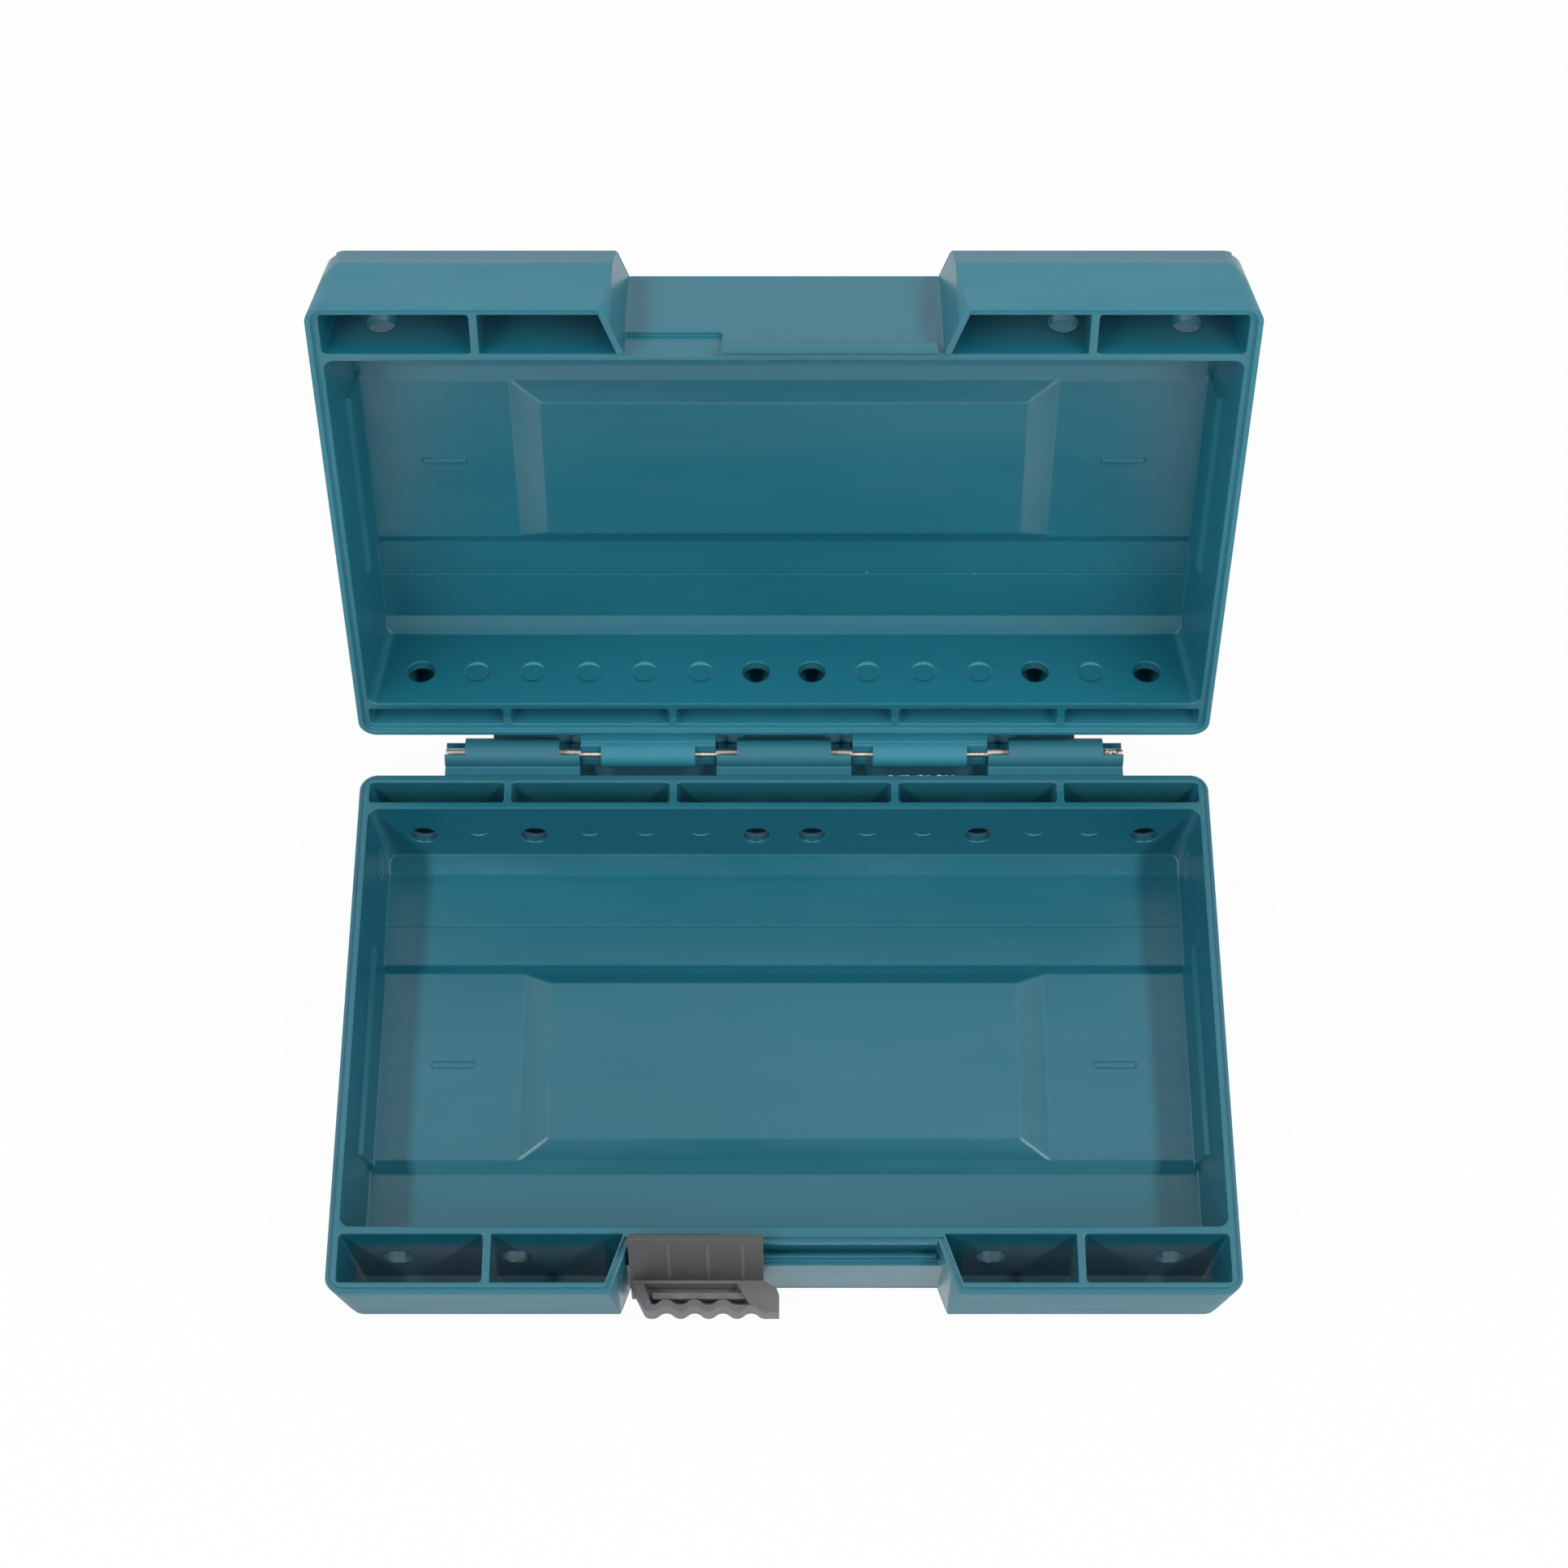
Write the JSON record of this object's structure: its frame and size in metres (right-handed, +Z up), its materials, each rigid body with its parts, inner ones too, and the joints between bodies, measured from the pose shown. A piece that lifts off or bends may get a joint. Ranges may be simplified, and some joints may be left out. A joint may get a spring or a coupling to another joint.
{
  "type": "compartment organizer box",
  "caption": "Flat hinged organizer box shown open: two moulded trays with bins and double walls on a long steel hinge pin, closed by a sliding front latch.",
  "frame": {"origin": "on the floor under the middle of the open box's bounding box", "axes": "+X along the hinge to the right seen from the latch side, +Y from the latch to the hinge, +Z up"},
  "size_m": [0.24, 0.2286, 0.188],
  "materials": {
    "base_plastic": "satin",
    "lid_plastic": "satin",
    "pin_steel": "drawn",
    "latch_plastic": "fine grain"
  },
  "bodies": {
    "base": {"base_shell": "base_plastic", "hinge_pin": "pin_steel"},
    "lid": {"lid_shell": "lid_plastic"},
    "latch": {"latch": "latch_plastic"}
  },
  "joints": [
    {"name": "lid_hinge", "type": "hinge", "parent": "base", "child": "lid", "pos_m": [0, 0.04909, 0.0285], "axis": [1, 0, 0], "range_deg": [0, 102.5]},
    {"name": "latch_slide", "type": "slide", "parent": "base", "child": "latch", "axis": [1, 0, 0], "range_m": [0, 0.044]}
  ]
}
